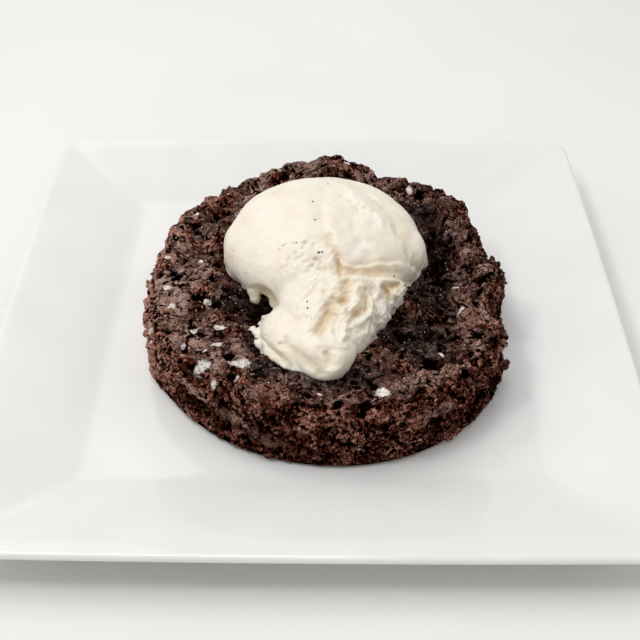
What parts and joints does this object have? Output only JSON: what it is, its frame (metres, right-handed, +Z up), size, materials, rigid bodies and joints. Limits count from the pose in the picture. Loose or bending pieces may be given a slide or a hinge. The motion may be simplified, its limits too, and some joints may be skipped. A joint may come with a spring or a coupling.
{
  "type": "flourless chocolate cake",
  "caption": "Small round flourless chocolate cake with a sunken middle, a flattened scoop of vanilla ice cream melting over it, on a square white dessert plate.",
  "frame": {"origin": "middle of the plate's foot, on the surface the plate stands on", "axes": "+Z up; +Y to the back of the plate; the ice cream's tongue runs towards -Y"},
  "size_m": [0.2046, 0.2046, 0.0561],
  "materials": {
    "porcelain": "smooth glossy white glazed porcelain",
    "chocolate_crumb": "dark porous baked crumb, with matte crust and small glossy wet places",
    "vanilla_ice_cream": "soft satin cream, wet where it melts, with fine dark vanilla specks"
  },
  "bodies": {
    "root": {"plate": "porcelain", "cake": "chocolate_crumb", "ice_cream": "vanilla_ice_cream"}
  },
  "joints": []
}
